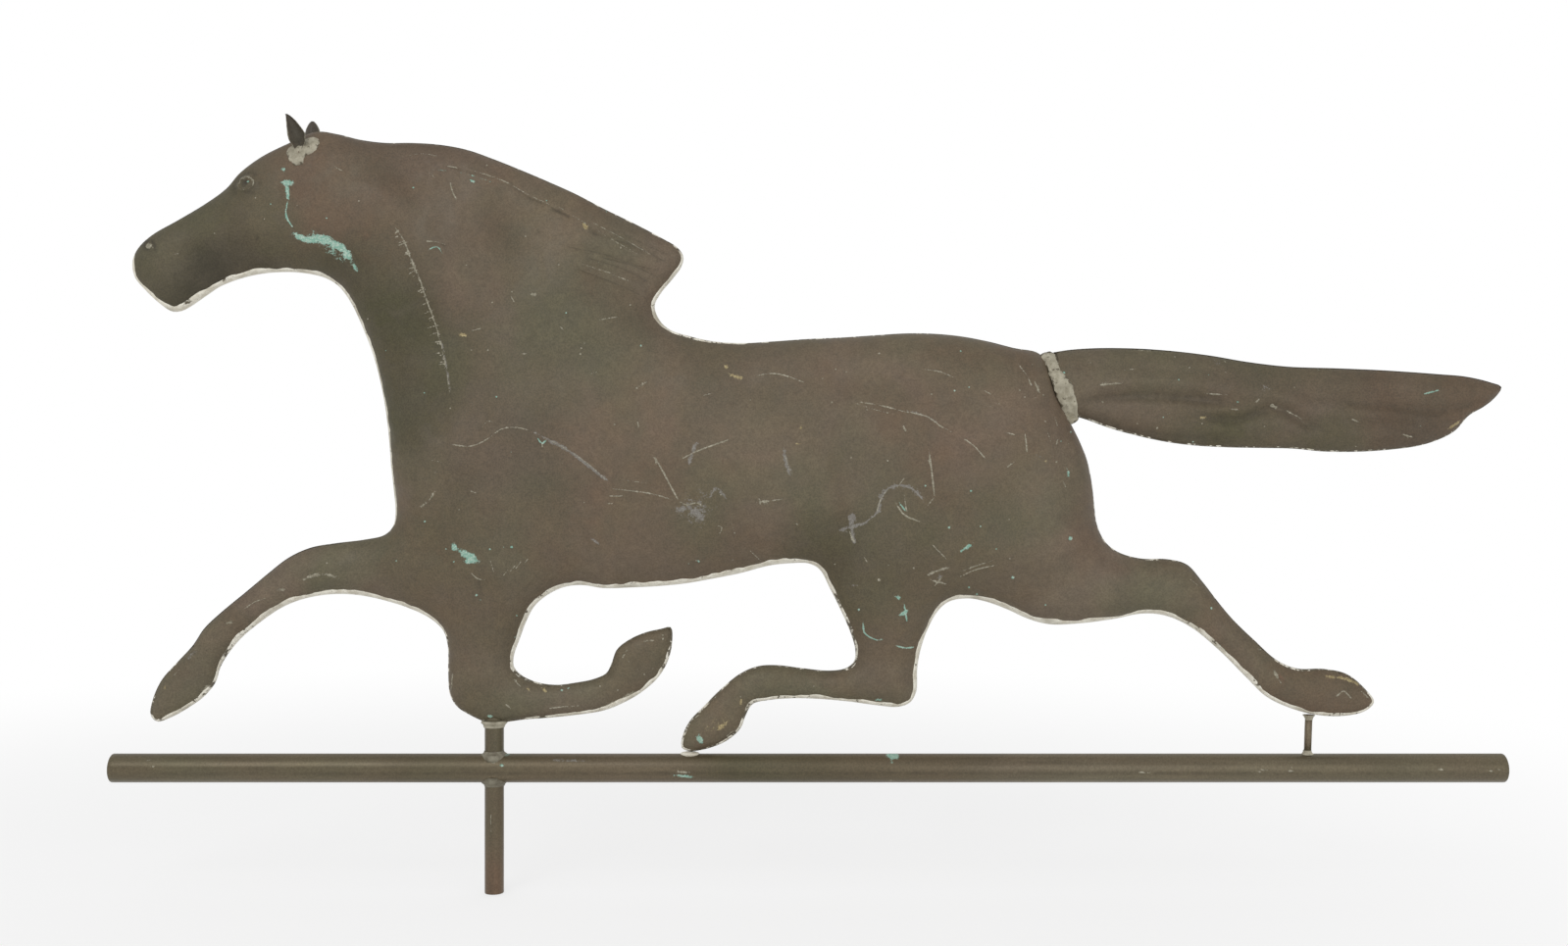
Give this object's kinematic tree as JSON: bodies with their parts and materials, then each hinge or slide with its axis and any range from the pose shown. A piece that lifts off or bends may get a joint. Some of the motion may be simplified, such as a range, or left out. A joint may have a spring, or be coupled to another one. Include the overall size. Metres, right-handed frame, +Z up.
{
  "type": "horse weathervane",
  "caption": "Running horse weathervane of hollow pressed copper halves on a post and crossbar, free to turn on a hidden spindle.",
  "frame": {"origin": "centre of the spindle's flat lower end, level with the post's lower end", "axes": "+Z up along the post, +X along the crossbar towards the tail, the near side of the horse faces -Y"},
  "size_m": [0.931, 0.056, 0.5176],
  "materials": {
    "patina_copper": "aged copper sheet, satin olive-brown patina with umber blotches, fine scratches and verdigris",
    "patina_tube": "aged copper tube, satin olive-brown patina with lighter rub marks",
    "ear_copper": "aged copper leaf, dark satin patina",
    "solder": "dull pale grey soft solder, uneven and filed",
    "spindle_steel": "turned steel rod",
    "cap_brass": "turned brass"
  },
  "bodies": {
    "spindle": {"spindle": "spindle_steel"},
    "vane": {"post": "patina_tube", "pivot_cap": "cap_brass", "crossbar": "patina_tube", "near_body_shell": "patina_copper", "far_body_shell": "patina_copper", "near_tail_shell": "patina_copper", "far_tail_shell": "patina_copper", "near_ear": "ear_copper", "far_ear": "ear_copper", "hoof_strut": "patina_tube", "body_seam_solder": "solder", "tail_seam_solder": "solder", "near_tail_joint_solder": "solder", "far_tail_joint_solder": "solder", "near_ear_solder": "solder", "far_ear_solder": "solder", "knee_solder": "solder", "bar_solder_above": "solder", "bar_solder_below": "solder", "strut_head_solder": "solder", "strut_foot_solder": "solder", "hoof_pad_solder": "solder"}
  },
  "joints": [
    {"name": "vane_turn", "type": "hinge", "parent": "spindle", "child": "vane", "pos_m": [0, 0, 0], "axis": [0, 0, 1], "continuous": true}
  ]
}
